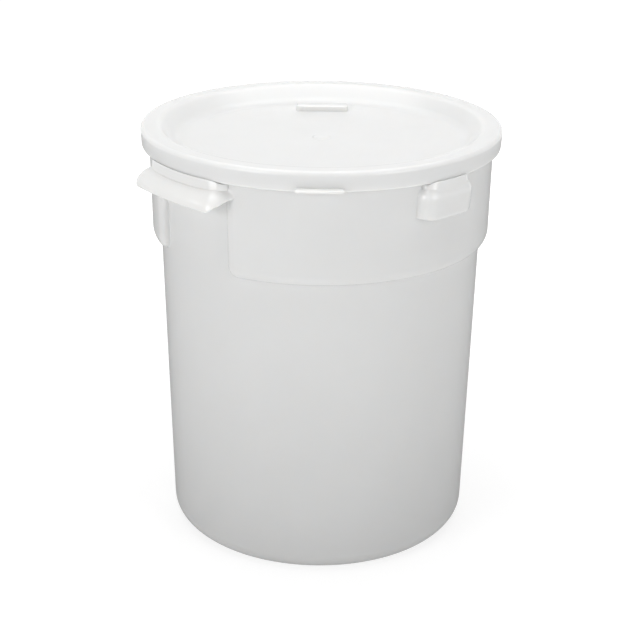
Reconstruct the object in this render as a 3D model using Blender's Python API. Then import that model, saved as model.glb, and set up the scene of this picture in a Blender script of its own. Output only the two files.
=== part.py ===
"""Round food storage container with a press-on lid, in metres, +Z up.

Two white polyethylene mouldings: the container, with its stepped band, hooded grip handles
and small lugs, and the dished lid that sits on its rim. The origin is the centre of the base.
The grip handles face +X and -X, and the lugs face +Y and -Y.
"""

import math
from dataclasses import dataclass

import bmesh
import bpy

# Container wall and base
TUB_HEIGHT = 0.404
WALL = 0.003
LOW_RADIUS = 0.1492
WALL_DRAFT = math.radians(1.21)
BASE_CORNER = 0.030
FLOOR = 0.003
FOOT_RECESS = 0.002
FOOT_RING = 0.012
FOOT_BEVEL = 0.0015

# Band: the stepped-out top of the wall, measured down from the rim
BAND_DEPTH = 0.105
BAND_STEP = 0.0081
BAND_LEDGE = 0.001
BAND_ROUNDING = 0.010
BAND_DRAFT = math.radians(0.7)
RIM_REACH = 0.0026
RIM_HEIGHT = 0.009
RIM_ROUNDING = 0.0012

# Finger pocket cut out of the band under each grip handle
POCKET_WIDTH = 0.1138
POCKET_DROP = 0.0262
POCKET_CORNER = 0.009
POCKET_TOP_CORNER = 0.003

# Lid
LID_WALL = 0.003
LID_GAP = 0.0003
SKIRT_CLEAR = 0.0023
SKIRT_DEPTH = 0.0187
SKIRT_ROUNDING = 0.0044
CREST_ROUNDING = 0.004
SNAP_CLEAR = 0.0004
SNAP_HEIGHT = 0.0045
SNAP_RAMP = 0.002
DISH_DEPTH = 0.016
DISH_SLOPE = math.radians(45)
DISH_FILLET = 0.012
CREST_FILLET = 0.009
PLUG_CLEAR = 0.0006
PLUG_DEPTH = 0.008
PLUG_WALL = 0.0022
GROOVE_DEPTH = 0.0008
GROOVE_WIDTH = 0.0039

# Thumb tab on the skirt's edge, and the raised bar on the panel opposite it
TAB_AZIMUTH = math.radians(227.9)
TAB_WIDTH = 0.042
TAB_REACH = 0.0065
TAB_THICKNESS = 0.0026
TAB_CORNER = 0.003
TAB_LIFT = 0.0004
BAR_RADIUS = 0.107
BAR_LENGTH = 0.052
BAR_WIDTH = 0.014
BAR_HEIGHT = 0.0057
BAR_CORNER = 0.003
BAR_DRAFT = 0.0006
BAR_WALL = 0.002

# How fine the round shapes are
SEGMENTS = 60
FILLET_STEPS = 4
SMALL_FILLET = 0.0015
HOOD_STEPS = 5
HOOD_COLUMNS = 7
HOLLOW_COLUMNS = 6
SLOT_COLUMNS = 5
HOOD_CORNER_STEPS = 3
HOLLOW_CORNER_STEPS = 2

# How far one solid is sunk in the next before they are joined, or a cutter passes a face
SINK = 0.005
PASS = 0.010
LIP_PASS = 0.001

# Faces warped by more than WARP_LIMIT are split, and points closer than MERGE_LIMIT are one
WARP_LIMIT = 1e-7
MERGE_LIMIT = 2e-5


@dataclass(frozen=True)
class Hood:
    """A hollow hood on the band, open below. Heights are measured down from the rim."""

    width: float
    reach: float
    crown_drop: float
    shoulder_drop: float
    lip_drop: float
    slot_drop: float
    taper: float
    plan_corner: float
    top_corner: float
    root_fillet: float
    lip_end: float


HANDLE_OVERLAP = 0.0015
HANDLE = Hood(
    width=POCKET_WIDTH + 2 * HANDLE_OVERLAP,
    reach=0.0199,
    crown_drop=0.0217,
    shoulder_drop=0.0368,
    lip_drop=0.0392,
    slot_drop=0.031,
    taper=math.radians(1.8),
    plan_corner=0.009,
    top_corner=0.008,
    root_fillet=0.003,
    lip_end=0.004,
)
LUG = Hood(
    width=0.061,
    reach=0.013,
    crown_drop=0.018,
    shoulder_drop=0.032,
    lip_drop=0.0485,
    slot_drop=0.043,
    taper=math.radians(0.4),
    plan_corner=0.0125,
    top_corner=0.008,
    root_fillet=0.001,
    lip_end=0.004,
)
HANDLE_AZIMUTHS = (0.0, math.pi)
LUG_AZIMUTHS = (math.pi / 2, 3 * math.pi / 2)

# Heights and radii that follow from the sizes above
BAND_BOTTOM = TUB_HEIGHT - BAND_DEPTH
CREST_TOP = TUB_HEIGHT + LID_GAP + LID_WALL
PANEL_TOP = CREST_TOP - DISH_DEPTH
SKIRT_BOTTOM = CREST_TOP - SKIRT_DEPTH


def wall_radius(height):
    """Outside radius of the drafted lower wall, which also backs the pockets."""
    return LOW_RADIUS + (height - BASE_CORNER) * math.tan(WALL_DRAFT)


def band_radius(height):
    """Outside radius of the band."""
    start = wall_radius(BAND_BOTTOM) + BAND_STEP
    return start + (height - BAND_BOTTOM - BAND_ROUNDING) * math.tan(BAND_DRAFT)


BAND_TOP_RADIUS = band_radius(TUB_HEIGHT)
RIM_RADIUS = BAND_TOP_RADIUS + RIM_REACH
MOUTH_RADIUS = BAND_TOP_RADIUS - WALL
LID_RADIUS = RIM_RADIUS + SKIRT_CLEAR + LID_WALL


def filleted(corners):
    """Turns (radius, height, fillet) corners into an outline with each corner rounded."""
    outline = []
    count = len(corners)
    for index, (radius, height, fillet) in enumerate(corners):
        before = corners[index - 1]
        after = corners[(index + 1) % count]
        to_before = (before[0] - radius, before[1] - height)
        to_after = (after[0] - radius, after[1] - height)
        span_before = math.hypot(*to_before)
        span_after = math.hypot(*to_after)
        if fillet <= 0 or span_before == 0 or span_after == 0:
            outline.append((radius, height))
            continue
        back = (to_before[0] / span_before, to_before[1] / span_before)
        ahead = (to_after[0] / span_after, to_after[1] / span_after)
        half_angle = math.acos(max(-1.0, min(1.0, back[0] * ahead[0] + back[1] * ahead[1]))) / 2
        tangent = min(fillet / math.tan(half_angle), 0.49 * span_before, 0.49 * span_after)
        rounding = tangent * math.tan(half_angle)
        middle = (back[0] + ahead[0], back[1] + ahead[1])
        to_centre = rounding / math.sin(half_angle) / math.hypot(*middle)
        centre = (radius + middle[0] * to_centre, height + middle[1] * to_centre)
        first = (radius + back[0] * tangent, height + back[1] * tangent)
        last = (radius + ahead[0] * tangent, height + ahead[1] * tangent)
        start = math.atan2(first[1] - centre[1], first[0] - centre[0])
        sweep = math.atan2(last[1] - centre[1], last[0] - centre[0]) - start
        sweep = (sweep + math.pi) % (2 * math.pi) - math.pi
        steps = 1 if rounding < SMALL_FILLET else FILLET_STEPS
        for step in range(steps + 1):
            angle = start + sweep * step / steps
            outline.append((
                centre[0] + rounding * math.cos(angle),
                centre[1] + rounding * math.sin(angle),
            ))
    return outline


def quarter_ellipse(centre, half_width, half_height):
    """Points from straight below the centre round to straight outside it."""
    points = []
    for step in range(FILLET_STEPS + 1):
        angle = math.pi / 2 * step / FILLET_STEPS
        points.append((
            centre[0] + half_width * math.sin(angle),
            centre[1] - half_height * math.cos(angle),
        ))
    return points


def is_warped(face):
    """Tells whether a face's corners lie off its plane."""
    middle = face.calc_center_median()
    return any(abs((vert.co - middle).dot(face.normal)) > WARP_LIMIT for vert in face.verts)


def new_object(name, form):
    """Makes an object from a bmesh, with its faces pointing out and no warped face."""
    warped = [face for face in form.faces if is_warped(face)]
    bmesh.ops.triangulate(form, faces=warped)
    bmesh.ops.recalc_face_normals(form, faces=form.faces)
    mesh = bpy.data.meshes.new(name)
    form.to_mesh(mesh)
    form.free()
    solid = bpy.data.objects.new(name, mesh)
    bpy.context.collection.objects.link(solid)
    return solid


def turned(name, outline, phase=0.0):
    """Spins an outline of (radius, height) points round the Z axis into a closed solid.

    The phase turns its facets by a share of one facet, so that where two turned solids
    cross, their edges don't meet.
    """
    form = bmesh.new()
    start = 2 * math.pi * phase / SEGMENTS
    ring = [form.verts.new(at_azimuth(radius, start, height)) for radius, height in outline]
    edges = []
    for first, second in zip(ring, ring[1:] + ring[:1]):
        if first.co.xy.length > 0 or second.co.xy.length > 0:
            edges.append(form.edges.new((first, second)))
    bmesh.ops.spin(
        form, geom=ring + edges, axis=(0, 0, 1), cent=(0, 0, 0), dvec=(0, 0, 0),
        angle=2 * math.pi, steps=SEGMENTS, use_merge=True,
    )
    bmesh.ops.remove_doubles(form, verts=form.verts, dist=1e-6)
    return new_object(name, form)


def lofted(name, sections):
    """Joins closed sections, each a list of column pairs (upper point, lower point)."""
    form = bmesh.new()
    rows = []
    for section in sections:
        rows.append([(form.verts.new(upper), form.verts.new(lower)) for upper, lower in section])
    columns = len(rows[0])
    for near, far in zip(rows, rows[1:]):
        for side in (0, 1):
            for column in range(columns - 1):
                form.faces.new((
                    near[column][side], near[column + 1][side],
                    far[column + 1][side], far[column][side],
                ))
        for column in (0, columns - 1):
            form.faces.new((near[column][0], near[column][1], far[column][1], far[column][0]))
    for row in (rows[0], rows[-1]):
        for column in range(columns - 1):
            form.faces.new((row[column][0], row[column + 1][0], row[column + 1][1], row[column][1]))
    return new_object(name, form)


def at_azimuth(radius, azimuth, height):
    """A point given by its radius, azimuth and height."""
    return (radius * math.cos(azimuth), radius * math.sin(azimuth), height)


def rotated(x, y, azimuth, height):
    """A point given in a frame that is turned by an azimuth about the Z axis."""
    cos, sin = math.cos(azimuth), math.sin(azimuth)
    return (x * cos - y * sin, x * sin + y * cos, height)


def combine(target, tool, operation):
    """Joins or cuts one object with another, removes the other and merges stray points."""
    boolean = target.modifiers.new(operation.title(), "BOOLEAN")
    boolean.operation = operation
    boolean.solver = "EXACT"
    boolean.object = tool
    bpy.context.view_layer.update()
    evaluated = target.evaluated_get(bpy.context.evaluated_depsgraph_get())
    result = bpy.data.meshes.new_from_object(evaluated)
    target.modifiers.clear()
    target.data = result
    bpy.data.objects.remove(tool, do_unlink=True)
    form = bmesh.new()
    form.from_mesh(result)
    bmesh.ops.remove_doubles(form, verts=form.verts, dist=MERGE_LIMIT)
    bmesh.ops.dissolve_degenerate(form, edges=form.edges, dist=MERGE_LIMIT)
    bmesh.ops.triangulate(form, faces=[face for face in form.faces if is_warped(face)])
    form.to_mesh(result)
    form.free()
    return target


def pocket_cutter(azimuth, inset):
    """Block that cuts one finger pocket out of the band, widening at its lower corners."""
    half = POCKET_WIDTH / 2 + inset
    top = TUB_HEIGHT - POCKET_DROP + inset
    bottom = BAND_BOTTOM + inset
    corner = POCKET_CORNER - inset
    outline = [(half + corner, bottom - PASS), (half + corner, bottom)]
    for step in range(1, FILLET_STEPS + 1):
        turn = math.pi / 2 * step / FILLET_STEPS
        outline.append((
            half + corner * (1 - math.sin(turn)),
            bottom + corner * (1 - math.cos(turn)),
        ))
    outline.append((half, top - POCKET_TOP_CORNER))
    outline.append((half - POCKET_TOP_CORNER, top))
    inside = wall_radius(BAND_BOTTOM) - inset - 2 * SINK
    outside = 1.25 * BAND_TOP_RADIUS
    form = bmesh.new()
    rows = []
    for side, height in outline:
        slope = math.tan(side / BAND_TOP_RADIUS)
        corners = (
            (inside, inside * slope), (outside, outside * slope),
            (outside, -outside * slope), (inside, -inside * slope),
        )
        rows.append([form.verts.new(rotated(x, y, azimuth, height)) for x, y in corners])
    for low, high in zip(rows, rows[1:]):
        for index in range(4):
            following = (index + 1) % 4
            form.faces.new((low[index], low[following], high[following], high[index]))
    form.faces.new(rows[0])
    form.faces.new(rows[-1])
    return new_object("pocket_cutter", form)


def band_ring(inset):
    """Ring of the band with its pockets cut out; inset by the wall it is the cavity's ring."""
    border = wall_radius(BAND_BOTTOM)
    inner = border - inset - SINK
    outline = [(inner, BAND_BOTTOM + inset)]
    outline += quarter_ellipse(
        (border + BAND_LEDGE, BAND_BOTTOM + BAND_ROUNDING),
        BAND_STEP - BAND_LEDGE - inset, BAND_ROUNDING - inset)
    if inset:
        lip = TUB_HEIGHT - RIM_ROUNDING
        outline += [
            (band_radius(lip) - inset, lip),
            (MOUTH_RADIUS + RIM_ROUNDING / 3, TUB_HEIGHT - RIM_ROUNDING / 3),
            (MOUTH_RADIUS + RIM_ROUNDING, TUB_HEIGHT),
            (MOUTH_RADIUS + RIM_ROUNDING, TUB_HEIGHT + PASS),
            (inner, TUB_HEIGHT + PASS),
        ]
    else:
        under = TUB_HEIGHT - RIM_HEIGHT
        outline += filleted([
            (band_radius(under - RIM_REACH), under - RIM_REACH, 0),
            (RIM_RADIUS, under, RIM_ROUNDING),
            (RIM_RADIUS, TUB_HEIGHT, RIM_ROUNDING),
            (inner, TUB_HEIGHT, 0),
        ])
    ring = turned("band_ring", outline, phase=0.0 if inset else 0.5)
    for azimuth in HANDLE_AZIMUTHS:
        combine(ring, pocket_cutter(azimuth, inset), "DIFFERENCE")
    return ring


def outer_form():
    """The container's outside, as a solid."""
    foot = LOW_RADIUS - BASE_CORNER
    top = TUB_HEIGHT - PASS
    core = turned("container", filleted([
        (0.0, FOOT_RECESS, 0),
        (foot - FOOT_RING - FOOT_BEVEL, FOOT_RECESS, 0),
        (foot - FOOT_RING, 0.0, 0),
        (LOW_RADIUS - BASE_CORNER * math.tan(WALL_DRAFT), 0.0, BASE_CORNER),
        (wall_radius(top), top, 0),
        (0.0, top, 0),
    ]))
    return combine(core, band_ring(0.0), "UNION")


def cavity_form():
    """The space inside the container: the outside set in by the wall, open at the top."""
    floor = FOOT_RECESS + FLOOR
    top = TUB_HEIGHT + PASS / 2
    low = LOW_RADIUS - WALL - (BASE_CORNER - floor) * math.tan(WALL_DRAFT)
    core = turned("cavity", filleted([
        (0.0, floor, 0),
        (low, floor, BASE_CORNER - floor),
        (wall_radius(top) - WALL, top, 0),
        (0.0, top, 0),
    ]), phase=0.5)
    return combine(core, band_ring(WALL), "UNION")


def hood_sections(hood, azimuth, inset):
    """Arched sections of a hood from inside the band out to its lip, inset for its hollow."""
    crown = TUB_HEIGHT - hood.crown_drop - inset
    shoulder = TUB_HEIGHT - hood.shoulder_drop
    lip = TUB_HEIGHT - hood.lip_drop - (PASS if inset else 0.0)
    slot = TUB_HEIGHT - hood.slot_drop
    root = band_radius(TUB_HEIGHT - hood.crown_drop)
    reach = hood.reach - inset
    corner = hood.plan_corner - inset
    fillet = 0.0 if inset else hood.root_fillet
    corner_steps = HOLLOW_CORNER_STEPS if inset else HOOD_CORNER_STEPS
    middle_columns = HOLLOW_COLUMNS if inset else HOOD_COLUMNS
    steps = [(-BAND_STEP - WALL - inset, crown + fillet, fillet)]
    if fillet:
        for step in range(HOOD_CORNER_STEPS):
            turn = math.pi / 2 * step / HOOD_CORNER_STEPS
            steps.append((fillet * (1 - math.cos(turn)), None, fillet * (1 - math.sin(turn))))
    for step in range(HOOD_STEPS + 1):
        turn = math.pi / 2 * step / HOOD_STEPS
        out = reach * math.sin(turn)
        if out >= fillet:
            steps.append((out, None, 0.0))
    sections = []
    for out, top, rise in steps:
        if top is None:
            share = min(1.0, max(0.0, out / reach))
            top = shoulder + (crown - shoulder) * math.sqrt(1 - share * share) + rise
        radius = root + out
        past = max(0.0, out - (hood.reach - hood.plan_corner))
        narrowing = corner - math.sqrt(max(0.0, corner * corner - past * past))
        half = (hood.width / 2 - inset + rise) / root
        half -= hood.taper * max(0.0, out) / hood.reach + narrowing / radius
        rounding = min(hood.top_corner - inset, 0.8 * (top - lip))
        end = lip if inset else min(slot - LIP_PASS, 0.5 * (lip + top - rounding))
        columns = []
        for step in range(corner_steps + 1):
            turn = math.pi / 2 * step / corner_steps
            side = half - rounding * (1 - math.cos(turn)) / radius
            high = top - rounding * (1 - math.sin(turn))
            columns.append((side, high, end + (lip - end) * math.sin(turn)))
        inner_side = columns[-1][0]
        middle = []
        for step in range(1, middle_columns):
            middle.append((inner_side * (1 - 2 * step / middle_columns), top, lip))
        columns = columns + middle + [(-side, high, low) for side, high, low in reversed(columns)]
        sections.append([
            (at_azimuth(radius, azimuth + side, high), at_azimuth(radius, azimuth + side, low))
            for side, high, low in columns
        ])
    return sections


def hood_slot(hood, azimuth):
    """Cutter for the finger slot that runs out through both ends of a hood."""
    inside = wall_radius(BAND_BOTTOM) - PASS
    outside = BAND_TOP_RADIUS + hood.reach - hood.lip_end
    top = TUB_HEIGHT - hood.slot_drop
    bottom = TUB_HEIGHT - hood.lip_drop - 2 * PASS
    half = (hood.width / 2 + PASS) / BAND_TOP_RADIUS
    sections = []
    for radius in (inside, outside):
        columns = []
        for step in range(SLOT_COLUMNS + 1):
            side = half * (2 * step / SLOT_COLUMNS - 1)
            columns.append((
                at_azimuth(radius, azimuth + side, top),
                at_azimuth(radius, azimuth + side, bottom),
            ))
        sections.append(columns)
    return lofted("hood_slot", sections)


def hood_shell(hood, azimuth):
    """A hollow hood, with the root that joins it to the band."""
    shell = lofted("hood", hood_sections(hood, azimuth, 0.0))
    combine(shell, lofted("hood_hollow", hood_sections(hood, azimuth, WALL)), "DIFFERENCE")
    return combine(shell, hood_slot(hood, azimuth), "DIFFERENCE")


def build_container():
    """The container, from its outer form, its hoods and its cavity."""
    container = outer_form()
    for azimuth in HANDLE_AZIMUTHS:
        combine(container, hood_shell(HANDLE, azimuth), "UNION")
    for azimuth in LUG_AZIMUTHS:
        combine(container, hood_shell(LUG, azimuth), "UNION")
    return combine(container, cavity_form(), "DIFFERENCE")


def lid_outline():
    """Half section of the lid, from the middle of its top face round to its underside."""
    under = TUB_HEIGHT + LID_GAP
    bead = RIM_RADIUS + SNAP_CLEAR
    skirt_inside = RIM_RADIUS + SKIRT_CLEAR
    plug = MOUTH_RADIUS - PLUG_CLEAR
    groove = under - GROOVE_DEPTH
    groove_inside = plug - PLUG_WALL - GROOVE_WIDTH
    below_panel = PANEL_TOP - LID_WALL
    below_dish = groove_inside - (groove - below_panel) / math.tan(DISH_SLOPE)
    dish = below_dish - LID_WALL * math.tan(DISH_SLOPE / 2)
    crest_inside = dish + DISH_DEPTH / math.tan(DISH_SLOPE)
    edge = LID_WALL / 6
    return filleted([
        (0.0, PANEL_TOP, 0),
        (dish, PANEL_TOP, DISH_FILLET),
        (crest_inside, CREST_TOP, CREST_FILLET),
        (LID_RADIUS, CREST_TOP, CREST_ROUNDING),
        (LID_RADIUS, SKIRT_BOTTOM, SKIRT_ROUNDING),
        (bead, SKIRT_BOTTOM, 0),
        (bead, SKIRT_BOTTOM + SNAP_HEIGHT, 0),
        (skirt_inside, SKIRT_BOTTOM + SNAP_HEIGHT + SNAP_RAMP, 0),
        (skirt_inside, under, edge),
        (plug, under, 0),
        (plug, under - PLUG_DEPTH, edge),
        (plug - PLUG_WALL, under - PLUG_DEPTH, edge),
        (plug - PLUG_WALL, groove, 0),
        (groove_inside, groove, 0),
        (below_dish, below_panel, DISH_FILLET + LID_WALL),
        (0.0, below_panel, 0),
    ])


def thumb_tab():
    """Flat tab that stands out of the skirt's lower edge."""
    low = SKIRT_BOTTOM + TAB_LIFT
    high = low + TAB_THICKNESS
    tip = LID_RADIUS + TAB_REACH
    sections = []
    for radius in (LID_RADIUS - LID_WALL, tip - TAB_CORNER, tip - 0.3 * TAB_CORNER, tip):
        past = max(0.0, radius - tip + TAB_CORNER)
        narrowing = TAB_CORNER - math.sqrt(max(0.0, TAB_CORNER ** 2 - past ** 2))
        half = (TAB_WIDTH / 2 - narrowing) / radius
        columns = []
        for step in range(HOOD_COLUMNS + 1):
            azimuth = TAB_AZIMUTH + half * (2 * step / HOOD_COLUMNS - 1)
            columns.append((at_azimuth(radius, azimuth, high), at_azimuth(radius, azimuth, low)))
        sections.append(columns)
    return lofted("thumb_tab", sections)


def bar_solid(name, bottom, top, inset):
    """Straight bar with rounded corners, set square to the radius opposite the tab."""
    turn = TAB_AZIMUTH + math.pi
    form = bmesh.new()
    rings = []
    for height, draft in ((bottom, 0.0), (top, BAR_DRAFT)):
        long_half = BAR_LENGTH / 2 - inset - draft
        wide_half = BAR_WIDTH / 2 - inset - draft
        corner = max(BAR_CORNER - inset, BAR_CORNER / 4)
        outline = []
        for quarter in range(4):
            side_x = 1 if quarter in (0, 3) else -1
            side_y = 1 if quarter in (0, 1) else -1
            for step in range(HOOD_CORNER_STEPS + 1):
                angle = math.pi / 2 * (quarter + step / HOOD_CORNER_STEPS)
                outline.append((
                    side_x * (wide_half - corner) + corner * math.cos(angle),
                    side_y * (long_half - corner) + corner * math.sin(angle),
                ))
        ring = []
        for x, y in outline:
            ring.append(form.verts.new(rotated(BAR_RADIUS + x, y, turn, height)))
        rings.append(ring)
    count = len(rings[0])
    for index in range(count):
        following = (index + 1) % count
        form.faces.new((rings[0][index], rings[0][following], rings[1][following], rings[1][index]))
    form.faces.new(rings[0])
    form.faces.new(rings[1])
    return new_object(name, form)


def build_lid():
    """The lid, from its turned form, the thumb tab and the raised bar, which is cored below."""
    lid = turned("lid", lid_outline())
    combine(lid, thumb_tab(), "UNION")
    middle = PANEL_TOP - LID_WALL / 2
    combine(lid, bar_solid("bar", middle, PANEL_TOP + BAR_HEIGHT, 0.0), "UNION")
    core_top = PANEL_TOP + BAR_HEIGHT - BAR_WALL
    core = bar_solid("bar_core", PANEL_TOP - LID_WALL - PASS, core_top, BAR_WALL)
    return combine(lid, core, "DIFFERENCE")


def moulded_plastic(name, colour):
    """Semi-gloss natural-white polyethylene."""
    material = bpy.data.materials.new(name)
    material.use_nodes = True
    shader = material.node_tree.nodes["Principled BSDF"]
    shader.inputs["Base Color"].default_value = (*colour, 1.0)
    shader.inputs["Roughness"].default_value = 0.35
    shader.inputs["Metallic"].default_value = 0.0
    return material


def finish(solid, material):
    """Gives a solid its material and smooth shading with sharp corners kept."""
    solid.data.materials.clear()
    solid.data.materials.append(material)
    solid.data.shade_smooth()
    solid.data.set_sharp_from_angle(angle=math.radians(32))


def main():
    """Clears the scene and builds both mouldings."""
    for leftover in list(bpy.data.objects):
        bpy.data.objects.remove(leftover, do_unlink=True)
    finish(build_container(), moulded_plastic("container_plastic", (0.80, 0.80, 0.80)))
    finish(build_lid(), moulded_plastic("lid_plastic", (0.88, 0.88, 0.88)))


main()
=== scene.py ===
"""Looks of a tall round food storage container with a press-on lid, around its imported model.

The object is two white polyethylene mouldings. Each is rebuilt here as one fine mesh that stands
for its CAD node: the container, with its stepped band, finger pockets, grip handles and lugs, and
the dished lid, with its thumb tab and raised bar. Sizes are in metres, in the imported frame: +Z is
up, the origin is the centre of the base, the grip handles face +X and -X, the lugs +Y and -Y.
"""

import logging
import math
from collections.abc import Callable, Iterable, Sequence
from dataclasses import dataclass
from enum import Enum

import bmesh
import bpy
import numpy as np
from mathutils import Matrix, Vector


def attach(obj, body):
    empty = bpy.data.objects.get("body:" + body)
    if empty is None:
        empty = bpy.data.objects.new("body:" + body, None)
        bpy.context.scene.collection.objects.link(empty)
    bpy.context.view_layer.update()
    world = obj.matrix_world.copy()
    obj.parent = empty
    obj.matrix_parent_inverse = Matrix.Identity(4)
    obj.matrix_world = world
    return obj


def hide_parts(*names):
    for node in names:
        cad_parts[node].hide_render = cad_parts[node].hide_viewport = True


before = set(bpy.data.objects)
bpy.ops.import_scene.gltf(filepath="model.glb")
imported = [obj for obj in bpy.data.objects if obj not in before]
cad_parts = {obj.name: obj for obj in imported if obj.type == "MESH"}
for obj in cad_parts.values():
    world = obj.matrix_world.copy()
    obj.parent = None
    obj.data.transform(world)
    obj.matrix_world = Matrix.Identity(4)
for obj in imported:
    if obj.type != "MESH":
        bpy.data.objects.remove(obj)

LOG = logging.getLogger("food_container")
MM = 0.001
MERGE_LIMIT = 2e-6
TINY = 1e-9
SHARP_ANGLE = math.radians(34)
LONGEST_TANGENT = 0.495  # most of a side that the fillet at one of its ends may take
BLOCK_CORNER_CELLS = 5
WHITE = (1.0, 1.0, 1.0, 1.0)

Corner = tuple[float, float, float]
Lattice = tuple[int, int, int]


def linear_colour(code: str) -> tuple[float, float, float, float]:
    """Turns an sRGB hex colour to linear.

    Args:
        code: six hex digits after a hash.

    Returns:
        Linear red, green and blue, with an alpha of 1.
    """
    parts = [int(code[start:start + 2], 16) / 255 for start in (1, 3, 5)]
    linear = [
        part / 12.92 if part <= 0.04045 else ((part + 0.055) / 1.055) ** 2.4 for part in parts]
    return (linear[0], linear[1], linear[2], 1.0)


def add_node(
    tree: bpy.types.NodeTree,
    kind: str,
    settings: dict[str, object] | None = None,
    sockets: dict[str | int, object] | None = None,
) -> bpy.types.Node:
    """Adds a node with its settings, and fills or links its input sockets.

    Args:
        tree: the node tree.
        kind: the node's type name.
        settings: properties of the node.
        sockets: by name or number, a value or the output socket to link from.

    Returns:
        The new node.
    """
    node = tree.nodes.new(kind)
    for key, value in (settings or {}).items():
        setattr(node, key, value)
    for key, value in (sockets or {}).items():
        if isinstance(value, bpy.types.NodeSocket):
            tree.links.new(value, node.inputs[key])
        else:
            node.inputs[key].default_value = value
    return node


def bare_material(name: str) -> bpy.types.Material:
    """Makes a material whose node tree is empty.

    Args:
        name: the material's name.

    Returns:
        The material.
    """
    made = bpy.data.materials.new(name)
    made.use_nodes = True
    made.node_tree.nodes.clear()
    return made


def mesh_object(
    name: str, points: Iterable[Sequence[float]], faces: Iterable[Sequence[int]]
) -> bpy.types.Object:
    """Makes a mesh object from points and faces, merged and facing outwards.

    Args:
        name: the object's name.
        points: the vertices.
        faces: vertex numbers of each face.

    Returns:
        The new object, linked to the scene.
    """
    mesh = bpy.data.meshes.new(name)
    mesh.from_pydata([tuple(point) for point in points], [], [tuple(face) for face in faces])
    tidy_mesh(mesh)
    made = bpy.data.objects.new(name, mesh)
    bpy.context.scene.collection.objects.link(made)
    return made


def tidy_mesh(mesh: bpy.types.Mesh) -> None:
    """Merges doubled points, drops empty faces and turns every face outwards.

    Args:
        mesh: the mesh, changed in place.
    """
    form = bmesh.new()
    form.from_mesh(mesh)
    bmesh.ops.remove_doubles(form, verts=form.verts, dist=MERGE_LIMIT)
    bmesh.ops.dissolve_degenerate(form, edges=form.edges, dist=MERGE_LIMIT)
    bmesh.ops.recalc_face_normals(form, faces=form.faces)
    form.to_mesh(mesh)
    form.free()


def baked_mesh(target: bpy.types.Object) -> None:
    """Replaces an object's mesh and modifiers by the evaluated mesh.

    Args:
        target: the object, changed in place.
    """
    bpy.context.view_layer.update()
    evaluated = target.evaluated_get(bpy.context.evaluated_depsgraph_get())
    mesh = bpy.data.meshes.new_from_object(evaluated)
    target.modifiers.clear()
    target.data = mesh


def joined(target: bpy.types.Object, others: Sequence[bpy.types.Object]) -> bpy.types.Object:
    """Unites solids with the first one, so that one moulding is one closed mesh.

    Args:
        target: the solid that the others are added to.
        others: the other solids, removed as they are added.

    Returns:
        The first solid, with the others in it.
    """
    for other in others:
        union = target.modifiers.new("Moulded in one", "BOOLEAN")
        union.operation = "UNION"
        union.solver = "EXACT"
        union.object = other
        baked_mesh(target)
        bpy.data.objects.remove(other, do_unlink=True)
        tidy_mesh(target.data)
    return target


def rounded_section(corners: Sequence[Corner], turn_step: float = math.radians(7.5)) -> np.ndarray:
    """Rounds the corners of a half section.

    Args:
        corners: (radius, height, fillet) of each corner, in order round the section.
        turn_step: largest turn between two points of a fillet.

    Returns:
        Points (radius, height) of the closed section.
    """
    outline = []
    for index, (radius, height, fillet) in enumerate(corners):
        here = np.array((radius, height))
        back = np.array(corners[index - 1][:2]) - here
        ahead = np.array(corners[(index + 1) % len(corners)][:2]) - here
        back_span, ahead_span = np.hypot(*back), np.hypot(*ahead)
        if fillet <= 0 or back_span == 0 or ahead_span == 0:
            outline.append(here)
            continue
        back, ahead = back / back_span, ahead / ahead_span
        half = math.acos(max(-1.0, min(1.0, float(back @ ahead)))) / 2
        tangent = min(
            fillet / math.tan(half), LONGEST_TANGENT * back_span, LONGEST_TANGENT * ahead_span)
        rounding = tangent * math.tan(half)
        middle = (back + ahead) / np.hypot(*(back + ahead))
        centre = here + middle * rounding / math.sin(half)
        first, last = here + back * tangent - centre, here + ahead * tangent - centre
        start = math.atan2(first[1], first[0])
        sweep = (math.atan2(last[1], last[0]) - start + math.pi) % (2 * math.pi) - math.pi
        steps = max(2, math.ceil(abs(sweep) / turn_step))
        for step in range(steps + 1):
            angle = start + sweep * step / steps
            outline.append(centre + rounding * np.array((math.cos(angle), math.sin(angle))))
    return np.array(outline)


def box_skin(counts: Lattice, open_sides: frozenset[tuple[int, int]]) -> list[tuple[Lattice, ...]]:
    """Lists the quads of a box-shaped lattice's skin.

    Args:
        counts: number of cells along each axis.
        open_sides: (axis, 0 or 1) of each side that is left open.

    Returns:
        Quads, each four lattice points.
    """
    quads = []
    for axis in range(3):
        first, second = (other for other in range(3) if other != axis)
        for side in (0, 1):
            if (axis, side) in open_sides:
                continue
            for i in range(counts[first]):
                for j in range(counts[second]):
                    quad = []
                    for step_i, step_j in ((0, 0), (1, 0), (1, 1), (0, 1)):
                        point = [0, 0, 0]
                        point[axis] = side * counts[axis]
                        point[first], point[second] = i + step_i, j + step_j
                        quad.append(tuple(point))
                    quads.append(tuple(quad))
    return quads


def corner_steps(flat: float, corner: float, flat_cells: int, corner_cells: int) -> np.ndarray:
    """Spaces lattice lines across a box side with a rounded edge at each end.

    Args:
        flat: half the side's flat part.
        corner: rounding radius.
        flat_cells: cells across the flat part.
        corner_cells: cells in half of each rounding, even in angle.

    Returns:
        The lines' places, from one end to the other.
    """
    angles = np.linspace(0, math.pi / 4, corner_cells + 1)[1:]
    outer = flat + corner * np.tan(angles)
    return np.concatenate((-outer[::-1], np.linspace(-flat, flat, flat_cells + 1), outer))


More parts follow.
